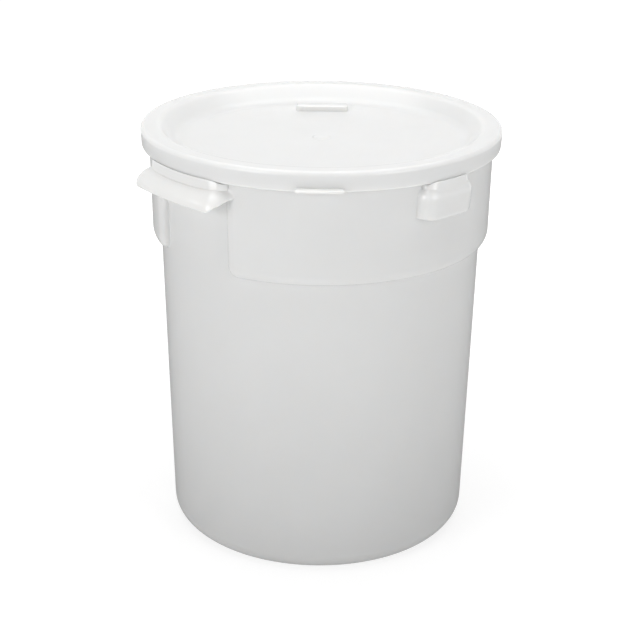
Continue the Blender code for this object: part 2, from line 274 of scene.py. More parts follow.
def rounded_block(
    name: str,
    half: Sequence[float],
    corners: Sequence[float],
    cells: Sequence[int],
    place: Callable[[np.ndarray], Sequence[float]],
) -> bpy.types.Object:
    """Makes a closed block with all its edges rounded.

    Args:
        name: the object's name.
        half: half its size along each axis.
        corners: rounding radius along each axis.
        cells: cells of the flat part along each axis.
        place: maps a point of the block to its place.

    Returns:
        The block.
    """
    radii = np.array(corners)
    flats = np.array(half) - radii
    lines = [corner_steps(flats[k], corners[k], cells[k], BLOCK_CORNER_CELLS) for k in range(3)]
    counts = tuple(len(line) - 1 for line in lines)
    numbers: dict[Lattice, int] = {}
    points, faces = [], []
    for quad in box_skin(counts, frozenset()):
        face = []
        for key in quad:
            if key not in numbers:
                numbers[key] = len(points)
                raw = np.array([lines[k][key[k]] for k in range(3)])
                inner = np.clip(raw, -flats, flats)
                direction = (raw - inner) / radii
                points.append(place(inner + direction / np.linalg.norm(direction) * radii))
            face.append(numbers[key])
        faces.append(face)
    return mesh_object(name, points, faces)


class Turning:
    """Geometry Nodes tree that turns a half section about the Z axis into a closed moulding."""

    def __init__(self) -> None:
        """Builds the node tree with its named inputs."""
        self.tree = bpy.data.node_groups.new("Turned moulding", "GeometryNodeTree")
        face = self.tree.interface
        face.new_socket("Section", in_out="INPUT", socket_type="NodeSocketGeometry")
        self.segments_socket = face.new_socket(
            "Segments", in_out="INPUT", socket_type="NodeSocketInt")
        self.material_socket = face.new_socket(
            "Plastic", in_out="INPUT", socket_type="NodeSocketMaterial")
        face.new_socket("Moulding", in_out="OUTPUT", socket_type="NodeSocketGeometry")
        self._build()

    def _build(self) -> None:
        """Adds the nodes: a grid whose rows follow the section and whose columns go round."""
        tree = self.tree
        given = add_node(tree, "NodeGroupInput")
        count = add_node(tree, "GeometryNodeAttributeDomainSize", {"component": "MESH"},
                         {"Geometry": given.outputs["Section"]})
        columns = add_node(tree, "ShaderNodeMath", {"operation": "ADD"},
                           {0: given.outputs["Segments"], 1: 1.0})
        grid = add_node(tree, "GeometryNodeMeshGrid", None, {
            "Size X": 1.0, "Size Y": 1.0,
            "Vertices X": count.outputs["Point Count"], "Vertices Y": columns.outputs[0]})
        place = add_node(tree, "GeometryNodeInputPosition")
        split = add_node(tree, "ShaderNodeSeparateXYZ", None, {0: place.outputs[0]})
        last = add_node(tree, "ShaderNodeMath", {"operation": "SUBTRACT"},
                        {0: count.outputs["Point Count"], 1: 1.0})
        share = add_node(tree, "ShaderNodeMath", {"operation": "ADD"},
                         {0: split.outputs["X"], 1: 0.5})
        row = add_node(tree, "ShaderNodeMath", {"operation": "MULTIPLY"},
                       {0: share.outputs[0], 1: last.outputs[0]})
        whole = add_node(tree, "ShaderNodeMath", {"operation": "ROUND"}, {0: row.outputs[0]})
        sample = add_node(
            tree, "GeometryNodeSampleIndex", {"data_type": "FLOAT_VECTOR", "domain": "POINT"}, {
                "Geometry": given.outputs["Section"], "Value": place.outputs[0],
                "Index": whole.outputs[0]})
        turn = add_node(tree, "ShaderNodeMath", {"operation": "ADD"},
                        {0: split.outputs["Y"], 1: 0.5})
        angle = add_node(tree, "ShaderNodeMath", {"operation": "MULTIPLY"},
                         {0: turn.outputs[0], 1: 2 * math.pi})
        spun = add_node(tree, "ShaderNodeVectorRotate", {"rotation_type": "Z_AXIS"},
                        {"Vector": sample.outputs["Value"], "Angle": angle.outputs[0]})
        placed = add_node(tree, "GeometryNodeSetPosition", None,
                          {"Geometry": grid.outputs["Mesh"], "Position": spun.outputs[0]})
        closed = add_node(tree, "GeometryNodeMergeByDistance", None,
                          {"Geometry": placed.outputs[0], "Distance": MERGE_LIMIT})
        smooth = add_node(tree, "GeometryNodeSetShadeSmooth", None, {"Geometry": closed.outputs[0]})
        real = add_node(tree, "GeometryNodeRealizeInstances", None, {"Geometry": smooth.outputs[0]})
        dressed = add_node(tree, "GeometryNodeSetMaterial", None,
                           {"Geometry": real.outputs[0], "Material": given.outputs["Plastic"]})
        add_node(tree, "NodeGroupOutput", None, {"Moulding": dressed.outputs[0]})

    def make(
        self, name: str, section: np.ndarray, segments: int, plastic: bpy.types.Material
    ) -> bpy.types.Object:
        """Turns a section into a plain mesh object.

        Args:
            name: the object's name.
            section: (radius, height) points from pole to pole.
            segments: facets round the axis.
            plastic: the material that the tree sets.

        Returns:
            The turned moulding.
        """
        mesh = bpy.data.meshes.new(name)
        points = [(radius, 0.0, height) for radius, height in section]
        mesh.from_pydata(points, [(index, index + 1) for index in range(len(points) - 1)], [])
        made = bpy.data.objects.new(name, mesh)
        bpy.context.scene.collection.objects.link(made)
        nodes = made.modifiers.new("Turning", "NODES")
        nodes.node_group = self.tree
        nodes[self.segments_socket.identifier] = segments
        nodes[self.material_socket.identifier] = plastic
        baked_mesh(made)
        tidy_mesh(made.data)
        return made


class Gloss(Enum):
    """How bright the mould was polished where a moulding was made."""

    POLISHED = 0.17
    SATIN = 0.235


@dataclass(frozen=True)
class Polyethylene:
    """Injection-moulded high-density polyethylene, natural white.

    It is waxy: a soft, slightly see-through body under a semi-gloss skin, with faint flow
    clouding, a fine orange-peel from the mould and a few handling smears in the gloss. To the eye
    that gives soft, milky shading under wide, slightly uneven highlights.
    """

    name: str
    colour: str
    cloud_colour: str
    gloss: Gloss
    # A pixel of the photograph's frame is about 1 mm on the container, and a polished mould's
    # orange-peel is finer than that, so it is drawn at 1.6 mm, as coarse as it needs to show.
    peel_size: float = 1.6 * MM
    peel_depth: float = 0.012 * MM
    peel_strength: float = 0.5
    cloud_size: float = 90 * MM
    smear_size: float = 38 * MM
    smear_range: tuple[float, float] = (0.3, 0.7)
    smear_polish: float = 0.015
    smear_dulling: float = 0.02
    ior: float = 1.51
    milkiness: float = 0.9
    milky_depth: float = 5 * MM
    milky_spread: tuple[float, float, float] = (1.0, 0.95, 0.9)

    def material(self) -> bpy.types.Material:
        """Builds the node material, on Object coordinates.

        Returns:
            The material.
        """
        # High-density polyethylene, injection-moulded and left as it comes out of a polished
        # mould: light goes a little way in, so that the white looks soft, not painted.
        made = bare_material(self.name)
        tree = made.node_tree
        place = add_node(tree, "ShaderNodeTexCoord").outputs["Object"]
        clouds = add_node(tree, "ShaderNodeTexNoise", None, {
            "Vector": place, "Scale": 1 / self.cloud_size, "Detail": 3.0, "Roughness": 0.55})
        tint = add_node(tree, "ShaderNodeMix", {"data_type": "RGBA"}, {
            0: clouds.outputs["Fac"], 6: linear_colour(self.cloud_colour),
            7: linear_colour(self.colour)})
        smears = add_node(tree, "ShaderNodeTexNoise", None, {
            "Vector": place, "Scale": 1 / self.smear_size, "Detail": 5.0, "Roughness": 0.6,
            "Distortion": 0.6})
        rough = add_node(tree, "ShaderNodeMapRange", None, {
            "Value": smears.outputs["Fac"],
            "From Min": self.smear_range[0], "From Max": self.smear_range[1],
            "To Min": self.gloss.value - self.smear_polish,
            "To Max": self.gloss.value + self.smear_dulling})
        peel = add_node(tree, "ShaderNodeTexNoise", None, {
            "Vector": place, "Scale": 1 / self.peel_size, "Detail": 2.0, "Roughness": 0.5})
        bump = add_node(tree, "ShaderNodeBump", None, {
            "Strength": self.peel_strength, "Distance": self.peel_depth,
            "Height": peel.outputs["Fac"]})
        shader = add_node(tree, "ShaderNodeBsdfPrincipled", None, {
            "Base Color": tint.outputs[2], "Roughness": rough.outputs[0],
            "Normal": bump.outputs[0], "IOR": self.ior, "Subsurface Weight": self.milkiness,
            "Subsurface Scale": self.milky_depth, "Subsurface Radius": self.milky_spread})
        add_node(tree, "ShaderNodeOutputMaterial", None, {"Surface": shader.outputs[0]})
        return made


@dataclass(frozen=True)
class TubForm:
    """Sizes that the container and its lid share."""

    height: float = 0.404
    wall: float = 0.003
    low_radius: float = 0.1492
    wall_draft: float = math.radians(1.21)
    base_corner: float = 0.030
    floor: float = 0.003
    foot_recess: float = 0.002
    foot_ring: float = 0.012
    foot_bevel: float = 0.0015
    band_depth: float = 0.105
    band_step: float = 0.0081
    band_rounding: float = 0.010
    band_foot: float = 0.002
    band_draft: float = math.radians(0.7)
    rim_reach: float = 0.0026
    rim_height: float = 0.009
    rim_rounding: float = 0.0012
    pocket_width: float = 0.0975
    pocket_drop: float = 0.0262
    pocket_corner: float = 0.011
    pocket_top_rounding: float = 0.0012

    @property
    def band_bottom(self) -> float:
        """Height of the band's lower border."""
        return self.height - self.band_depth

    def wall_radius(self, height: float | np.ndarray) -> float | np.ndarray:
        """Outside radius of the drafted wall at a height."""
        return self.low_radius + (height - self.base_corner) * math.tan(self.wall_draft)

    def band_radius(self, height: float | np.ndarray) -> float | np.ndarray:
        """Outside radius of the band at a height."""
        start = self.wall_radius(self.band_bottom) + self.band_step
        return start + (height - self.band_bottom - self.band_rounding) * math.tan(self.band_draft)

    @property
    def top_radius(self) -> float:
        """Outside radius of the band at the rim."""
        return self.band_radius(self.height)

    @property
    def rim_radius(self) -> float:
        """Outside radius of the rim bead."""
        return self.top_radius + self.rim_reach

    @property
    def mouth_radius(self) -> float:
        """Radius of the mouth."""
        return self.top_radius - self.wall


@dataclass(frozen=True)
class Hood:
    """A hollow hood moulded on the band, open below: a grip handle or a lug.

    Drops are measured down from the rim. Its skin is a lattice wrapped on a box with elliptical
    edges, with a flare that runs out into the band.
    """

    name: str
    width: float
    reach: float
    crown_drop: float
    shoulder_drop: float
    lip_drop: float
    slot_drop: float
    end_radius: float
    end_power: float
    front_radius: float
    lip_corner: float
    lip_end: float
    flare: float
    end_wall: float
    front_wall: float
    root_depth: float
    undercut: float
    ledge_width: float
    ledge_corner: float
    columns: int
    ledge_reach: float = 0.0086
    ledge_top: float = 0.0156
    ledge_bottom: float = 0.0234
    ledge_lean: float = 0.0018
    ledge_lift: float = 0.0038
    ledge_lift_start: float = 0.6
    ledge_root: float = 1 * MM
    ledge_front: float = 0.9
    ledge_rounding: float = 0.0011
    corner_cells: int = 8
    straight_cells: int = 5
    flare_cells: int = 6
    rim_cells: int = 4
    flare_crowding: float = 1.7
    least_corner: float = 1.5 * MM
    shallow_root: float = 1.2 * MM
    sink: float = 0.04 * MM

    def lines(self) -> tuple[np.ndarray, np.ndarray, np.ndarray]:
        """Spaces the lattice lines.

        Returns:
            Lines across (-1 to 1 on the flat part, then the corner), up and out (shares).
        """
        tangents = np.tan(np.linspace(0, math.pi / 4, self.corner_cells + 1))
        across = np.concatenate((
            -1 - tangents[:0:-1], np.linspace(-1, 1, self.columns + 1), 1 + tangents[1:]))
        straight = self.lip_drop - self.shoulder_drop
        crown = self.shoulder_drop - self.crown_drop
        up = np.concatenate((
            np.linspace(0, straight, self.straight_cells + 1), straight + crown * tangents[1:]))
        flare = self.flare / self.reach
        eased = flare * np.linspace(0, 1, self.flare_cells + 1) ** self.flare_crowding
        first = math.atan(flare)
        rest = np.tan(np.linspace(first, math.pi / 4, self.corner_cells + 1))[1:]
        return across, up / (straight + crown), np.concatenate((eased, rest))

    def skin_point(
        self, tub: TubForm, across: float, up: float, out: float, inner: bool
    ) -> np.ndarray:
        """Places one lattice point.

        Args:
            tub: the container's sizes.
            across: -1 to 1 on the flat part, and up to 2 round a corner.
            up: share of the way from the free edge to the crown.
            out: share of the way from the band to the front.
            inner: whether the point is on the hollow's side.

        Returns:
            (side along the band, distance out of the band, height).
        """
        end_wall, front_wall = (self.end_wall, self.front_wall) if inner else (0.0, 0.0)
        half = self.width / 2 - end_wall
        corner = max(self.end_radius - end_wall, self.least_corner)
        flat = half - corner
        crown = tub.height - self.crown_drop - front_wall
        shoulder = tub.height - self.shoulder_drop
        reach = self.reach - front_wall
        past = max(0.0, abs(across) - 1)
        plan = self._length((past, 0.0, out)) if past > 0 else 1.0
        side = abs(across) * flat if past <= 0 else flat + corner * past / max(plan, TINY)
        edge = self._free_edge(tub, side / half)
        height = edge + up * (crown - edge)
        rise = max(0.0, (height - shoulder) / (crown - shoulder))
        size = self._length((past, rise, out))
        side = abs(across) * flat if past <= 0 else flat + corner * past / size
        if rise > 0:
            height = shoulder + (crown - shoulder) * rise / size
        away = (reach + self._flatter(tub, side)) * out / size
        below = min(1.0, max(0.0, (shoulder - height) / (self.lip_drop - self.shoulder_drop)))
        away *= 1 - self.undercut / self.reach * below * below
        if not inner and away < self.flare:
            spread = self.flare - math.sqrt(max(0.0, self.flare ** 2 - (self.flare - away) ** 2))
            share = math.hypot(past, rise)
            side += spread * past / share if share > 0 else 0.0
            height += spread * rise / share if share > 0 else 0.0
        return np.array((math.copysign(side, across), away, height))

    def _flatter(self, tub: TubForm, side: float) -> float:
        """Works out the extra reach that makes the front flatter in plan than the round band.

        Args:
            tub: the container's sizes.
            side: distance along the band from the hood's middle.

        Returns:
            The extra reach.
        """
        radius = tub.top_radius + self.reach
        offset = radius * math.sin(side / tub.top_radius)
        return offset * offset / 2 * (1 / radius - 1 / self.front_radius)

    def _length(self, direction: Sequence[float]) -> float:
        """Measures a lattice direction, by the power that squares the hood's ends.

        Args:
            direction: its parts round the end, up and out.

        Returns:
            Its length, never quite nothing.
        """
        past, rise, out = direction
        plan = (past ** self.end_power + out ** self.end_power) ** (1 / self.end_power)
        return max(math.hypot(plan, rise), TINY)

    def _free_edge(self, tub: TubForm, side: float) -> float:
        """Finds the free edge: the lip, rising round a corner to the slot at each end.

        Args:
            tub: the container's sizes.
            side: share of the way from the hood's middle to its end.

        Returns:
            The edge's height.
        """
        lip = tub.height - self.lip_drop + self.front_wall / 2
        start = self.width / 2 - self.lip_end - self.lip_corner
        share = min(1.0, max(0.0, (side * self.width / 2 - start) / self.lip_corner))
        return lip + (self.lip_drop - self.slot_drop) * share * share * (3 - 2 * share)

    def build(self, tub: TubForm, azimuth: float) -> bpy.types.Object:
        """Builds the hood as a closed solid whose root is sunk in the band.

        Args:
            tub: the container's sizes.
            azimuth: the way that it faces.

        Returns:
            The solid.
        """
        across, up, out = self.lines()
        counts = (len(across) - 1, len(up) - 1, len(out) - 1)
        quads = box_skin(counts, frozenset({(1, 0), (2, 0)}))
        points: list[np.ndarray] = []
        faces: list[list[int]] = []
        skins: list[dict[Lattice, int]] = []
        for inner in (False, True):
            numbers: dict[Lattice, int] = {}
            for quad in quads:
                face = []
                for key in quad:
                    if key not in numbers:
                        numbers[key] = len(points)
                        a, b, c = key
                        points.append(self.skin_point(tub, across[a], up[b], out[c], inner))
                    face.append(numbers[key])
                faces.append(face)
            skins.append(numbers)
        self._close_edge(counts, skins, points, faces)
        placed = []
        for side, away, height in points:
            radius = tub.band_radius(height) + away - self.sink
            angle = azimuth + side / tub.top_radius
            placed.append((radius * math.cos(angle), radius * math.sin(angle), height))
        return mesh_object(self.name, placed, faces)

    def ledge(self, tub: TubForm, azimuth: float) -> bpy.types.Object:
        """Builds the ledge over the hood, which fills the gap up to the lid's skirt.

        Args:
            tub: the container's sizes.
            azimuth: the way that it faces.

        Returns:
            The ledge.
        """
        half = (self.ledge_reach, self.ledge_width / 2, (self.ledge_bottom - self.ledge_top) / 2)
        middle = tub.height - (self.ledge_bottom + self.ledge_top) / 2

        def place(point: np.ndarray) -> tuple[float, float, float]:
            """Bends the ledge round the band, leans its front and lifts its edge at the skirt.

            Args:
                point: a point of the straight block, out, along and up.

            Returns:
                Its place.
            """
            out, up = point[0] / half[0], point[2] / half[2]
            lean = self.ledge_lean * (1 - up) / 2 * out
            away = point[0] + lean if out > 0 else out * self.ledge_root
            lift = self.ledge_lift * max(0.0, out - self.ledge_lift_start)
            height = middle + point[2] + lift / (1 - self.ledge_lift_start) * max(0.0, up)
            radius = tub.band_radius(height) + away
            angle = azimuth + point[1] / tub.top_radius
            return (radius * math.cos(angle), radius * math.sin(angle), height)

        corners = (self.ledge_front * half[0], self.ledge_corner, self.ledge_rounding)
        return rounded_block(self.name + "_ledge", half, corners, (1, self.columns, 2), place)

    def _close_edge(
        self,
        counts: Lattice,
        skins: Sequence[dict[Lattice, int]],
        points: list[np.ndarray],
        faces: list[list[int]],
    ) -> None:
        """Joins the outer and inner skins: a rounded free edge, and a root inside the wall.

        Args:
            counts: cells of the lattice along each axis.
            skins: point numbers of the outer and the inner skin.
            points: all the points, added to.
            faces: all the faces, added to.
        """
        a_end, b_end, c_end = counts
        root = [(0, b, 0) for b in range(b_end + 1)] + [(a, b_end, 0) for a in range(1, a_end + 1)]
        root += [(a_end, b, 0) for b in range(b_end - 1, -1, -1)]
        free = [(a_end, 0, c) for c in range(1, c_end + 1)]
        free += [(a, 0, c_end) for a in range(a_end - 1, -1, -1)]
        free += [(0, 0, c) for c in range(c_end - 1, 0, -1)]
        rows = []
        for key in root:
            outer, inner = points[skins[0][key]], points[skins[1][key]]
            middle = (outer + inner) / 2
            stops = (
                (outer[0], -self.shallow_root, outer[2]),
                (middle[0], -self.shallow_root, middle[2]),
                (middle[0], -self.root_depth, middle[2]),
                (inner[0], -self.root_depth, inner[2]),
            )
            rows.append(self._strip_row(key, skins, [np.array(stop) for stop in stops], points))
        for key in free:
            outer, inner = points[skins[0][key]], points[skins[1][key]]
            above = (key[0], 1, key[2])
            down = outer - points[skins[0][above]] + inner - points[skins[1][above]]
            middle, arm = (outer + inner) / 2, (outer - inner) / 2
            unit = arm / np.linalg.norm(arm)
            down = down - unit * float(down @ unit)
            down = down / np.linalg.norm(down) * np.linalg.norm(arm)
            stops = []
            for step in range(1, self.rim_cells + 1):
                turn = math.pi * step / (self.rim_cells + 1)
                stops.append(middle + arm * math.cos(turn) + down * math.sin(turn))
            rows.append(self._strip_row(key, skins, stops, points))
        for first, second in zip(rows, rows[1:] + rows[:1]):
            for step in range(len(first) - 1):
                faces.append([first[step], second[step], second[step + 1], first[step + 1]])

    @staticmethod
    def _strip_row(
        key: Lattice,
        skins: Sequence[dict[Lattice, int]],
        stops: Sequence[np.ndarray],
        points: list[np.ndarray],
    ) -> list[int]:
        """Adds the points between the two skins at one place.

        Args:
            key: the lattice point.
            skins: point numbers of the outer and the inner skin.
            stops: the points between them, in order.
            points: all the points, added to.

        Returns:
            Point numbers of the whole row.
        """
        row = [skins[0][key]]
        for stop in stops:
            row.append(len(points))
            points.append(stop)
        row.append(skins[1][key])
        return row


@dataclass(frozen=True)
class ContainerBody:
    """The container: turned wall and base, band with two finger pockets, handles and lugs."""

    tub: TubForm = TubForm()
    plastic: Polyethylene = Polyethylene(
        "white_hdpe_container", "#E7E7E6", "#E3E3E2", Gloss.POLISHED)
    handle: Hood = Hood(
        name="grip_handle", width=0.1168, reach=0.0197, crown_drop=0.0205, shoulder_drop=0.0375,
        lip_drop=0.039, slot_drop=0.030, end_radius=0.015, end_power=2.1, front_radius=0.40,
        lip_corner=0.012, lip_end=0.0014, flare=0.0045, end_wall=0.002, front_wall=0.003,
        root_depth=0.009, undercut=0.0006, ledge_width=0.108, ledge_corner=0.020, columns=26)
    lug: Hood = Hood(
        name="lug", width=0.061, reach=0.0128, crown_drop=0.016, shoulder_drop=0.030,
        lip_drop=0.0485, slot_drop=0.0475, end_radius=0.0145, end_power=2.0, front_radius=0.40,
        lip_corner=0.006, lip_end=0.003, flare=0.0015, end_wall=0.0025, front_wall=0.0028,
        root_depth=0.002, undercut=0.0022, ledge_width=0.053, ledge_corner=0.012,
        ledge_bottom=0.0236, ledge_lean=0.0027, columns=12)
    samples: int = 4001
    wide_spacing: float = 5.5 * MM
    corner_spacing: float = 0.9 * MM
    corner_zone: tuple[float, float] = (-7.0, 13.0)  # mm past the pocket's edge
    edge_spacing: float = 0.35 * MM
    edge_zone: tuple[float, float] = (-1.6, 4.5)  # mm past the pocket's edge
    foot_growth: float = 0.7
    foot_rows: int = 8
    rounding_rows: int = 16
    border_zone: tuple[float, float] = (1.2 * MM, 13 * MM)
    border_spacing: float = 0.8 * MM
    pocket_top_steps: tuple[float, ...] = (  # mm above the pocket's top
        -3.6, -2.4, -1.6, -1.0, -0.6, -0.3, -0.1, 0.0, 0.1, 0.25, 0.5, 0.8, 1.2, 1.8)
    band_rows: int = 9
    band_margins: tuple[float, float] = (14 * MM, 5 * MM)
    wall_rows: int = 16
    wall_margin: float = 2 * MM
    least_row: float = 0.06 * MM
    base_margin: float = 4 * MM
    rim_margin: float = 1 * MM
    rim_start: float = 3 * MM
    mouth_depth: float = 4 * MM
    foot_fillet: float = 0.0008
    bead_fillet: float = 0.001
    base_turn: float = math.radians(5)
    rim_turn: float = math.radians(15)
    inside_turn: float = math.radians(6)

    def columns(self) -> np.ndarray:
        """Spaces the columns of faces, close together at the pockets' edges.

        Returns:
            Their azimuths, once round.
        """
        reference = self.tub.top_radius
        quarter = math.pi / 2 * reference
        sides = np.linspace(0, quarter, self.samples)
        past = (sides - self.tub.pocket_width / 2) / MM
        spacing = np.full_like(sides, self.wide_spacing)
        for (low, high), step in (
                (self.corner_zone, self.corner_spacing), (self.edge_zone, self.edge_spacing)):
            spacing[(past > low) & (past < high)] = step
        counted = np.concatenate(([0.0], np.cumsum(np.diff(sides) / spacing[:-1])))
        count = math.ceil(counted[-1])
        places = np.interp(np.linspace(0, counted[-1], count + 1), counted, sides) / reference
        half_turn = np.concatenate((places, math.pi - places[-2:0:-1]))
        return np.concatenate((half_turn, half_turn + math.pi))

    def border_distance(self, azimuth: np.ndarray, height: np.ndarray) -> np.ndarray:
        """Measures how far points lie inside the band from the foot of its rounded border.

        Args:
            azimuth: azimuths of the points.
            height: their heights.

        Returns:
            Signed distances.
        """
        tub = self.tub
        turned = np.abs((azimuth + math.pi / 2) % math.pi - math.pi / 2)
        side = turned * tub.top_radius - tub.pocket_width / 2
        above = height - tub.band_bottom
        over = height - (tub.height - tub.pocket_drop)
        corner = tub.pocket_corner
        in_side, in_low = corner - side, corner - above
        rounded = corner - np.hypot(in_side, in_low)
        beside = np.where((in_side > 0) & (in_low > 0), rounded, np.minimum(side, above))
        over_side = np.hypot(np.maximum(side, 0), over)
        return np.where(over > 0, np.minimum(over_side, above), beside)

    def band_height(self, azimuth: np.ndarray, height: np.ndarray, inset: float) -> np.ndarray:
        """Works out how far the band stands out of the wall.

        Args:
            azimuth: azimuths of the points.
            height: their heights.
            inset: nothing on the outside, the wall's thickness on the inside.

        Returns:
            How far it stands out at each point.
        """
        tub = self.tub
        distance = self.border_distance(azimuth, height) - inset
        total = tub.band_radius(height) - tub.wall_radius(height)
        foot = tub.band_foot + self.foot_growth * inset
        over = height > tub.height - tub.pocket_drop + inset / 2
        crown = np.where(over, tub.pocket_top_rounding, tub.band_rounding - inset)
        low = foot * (1 - np.sqrt(np.clip(1 - ((distance + foot) / foot) ** 2, 0, 1)))
        share = np.clip(distance / crown, 0, 1)
        high = foot + (total - foot) * np.sqrt(1 - (1 - share) ** 2)
        rise = np.where(distance <= -foot, 0.0, np.where(distance < 0, low, high))
        return np.minimum(rise, total)

    def heights(self, inset: float) -> np.ndarray:
        """Spaces the rows of faces between the base's corner and the rim.

        Args:
            inset: nothing on the outside, the wall's thickness on the inside.

        Returns:
            Their heights, from the lowest up.
        """
        tub = self.tub
        low = tub.band_bottom + inset
        top = tub.height - tub.pocket_drop + inset
        crown = tub.band_rounding - inset
        foot = tub.band_foot + self.foot_growth * inset
        foots = low - foot * np.sin(np.linspace(math.pi / 2, 0, self.foot_rows))
        turns = np.linspace(0, math.pi / 2, self.rounding_rows)[1:]
        border = low + crown * (1 - np.cos(turns))
        finer = np.arange(low + self.border_zone[0], low + self.border_zone[1], self.border_spacing)
        under = np.linspace(low + self.band_margins[0], top - self.band_margins[1], self.band_rows)
        wall = np.linspace(
            tub.base_corner + self.base_margin, low - foot - self.wall_margin, self.wall_rows)
        edge = top + np.array(self.pocket_top_steps) * MM
        merged = np.sort(np.concatenate((wall, foots, border, finer, under, edge)))
        return merged[np.concatenate(([True], np.diff(merged) > self.least_row))]

    def rows(self) -> list[tuple[np.ndarray, np.ndarray]]:
        """Lists every row of points, down the outside, over the rim and down the inside.

        Returns:
            (radius, height) of each row, by column, from pole to pole.
        """
        tub = self.tub
        columns = self.columns()
        flat = np.ones_like(columns)
        foot = tub.low_radius - tub.base_corner
        edge = tub.low_radius - tub.base_corner * math.tan(tub.wall_draft)
        start = tub.base_corner + self.base_margin
        base = rounded_section([
            (0.0, tub.foot_recess, 0),
            (foot - tub.foot_ring - tub.foot_bevel, tub.foot_recess, self.foot_fillet),
            (foot - tub.foot_ring, 0.0, self.foot_fillet), (edge, 0.0, tub.base_corner),
            (tub.wall_radius(start), start, 0), (0.0, start, 0)], self.base_turn)[:-2]
        rows = [(radius * flat, height * flat) for radius, height in base]
        rim_foot = tub.height - tub.rim_height - tub.rim_reach
        for height in self.heights(0.0):
            if height < rim_foot - self.rim_margin:
                level = height * flat
                rows.append((tub.wall_radius(level) + self.band_height(columns, level, 0.0), level))
        rim = rounded_section([
            (tub.band_radius(rim_foot - self.rim_start), rim_foot - self.rim_start, 0),
            (tub.band_radius(rim_foot), rim_foot, self.bead_fillet),
            (tub.rim_radius, rim_foot + tub.rim_reach, self.bead_fillet),
            (tub.rim_radius, tub.height, tub.rim_rounding),
            (tub.mouth_radius, tub.height, tub.rim_rounding),
            (tub.band_radius(tub.height - self.mouth_depth) - tub.wall,
             tub.height - self.mouth_depth, 0),
            (tub.band_radius(rim_foot) - tub.wall, rim_foot, 0)], self.rim_turn)
        rows += [(radius * flat, height * flat) for radius, height in rim]
        for height in self.heights(tub.wall)[::-1]:
            if height < rim_foot - self.rim_margin:
                level = height * flat
                rise = self.band_height(columns, level, tub.wall)
                rows.append((tub.wall_radius(level) - tub.wall + rise, level))
        bottom = tub.foot_recess + tub.floor
        low = tub.low_radius - tub.wall - (tub.base_corner - bottom) * math.tan(tub.wall_draft)
        inside = rounded_section([
            (0.0, start, 0), (tub.wall_radius(start) - tub.wall, start, 0),
            (low, bottom, tub.base_corner - bottom), (0.0, bottom, 0)], self.inside_turn)[1:]
        rows += [(radius * flat, height * flat) for radius, height in inside]
        return rows

    def turned_wall(self) -> bpy.types.Object:
        """Builds the wall, band and base as one closed skin of rows and columns.

        Returns:
            The solid, without its handles and lugs.
        """
        columns = self.columns()
        rows = self.rows()
        points, faces = [], []
        for radius, height in rows:
            points += list(zip(radius * np.cos(columns), radius * np.sin(columns), height))
        count = len(columns)
        for row in range(len(rows) - 1):
            for column in range(count):
                following = (column + 1) % count
                faces.append((
                    row * count + column, row * count + following,
                    (row + 1) * count + following, (row + 1) * count + column))
        return mesh_object("container_moulding", points, faces)

    def build(self) -> bpy.types.Object:
        """Builds the whole moulding in its plastic.

        Returns:
            The container.
        """
        body = self.turned_wall()
        facing = (
            (self.handle, (0.0, math.pi)), (self.lug, (math.pi / 2, 3 * math.pi / 2)))
        solids = [hood.build(self.tub, turn) for hood, turns in facing for turn in turns]
        solids += [hood.ledge(self.tub, turn) for hood, turns in facing for turn in turns]
        joined(body, solids)
        finish_piece(body, self.plastic.material())
        return body


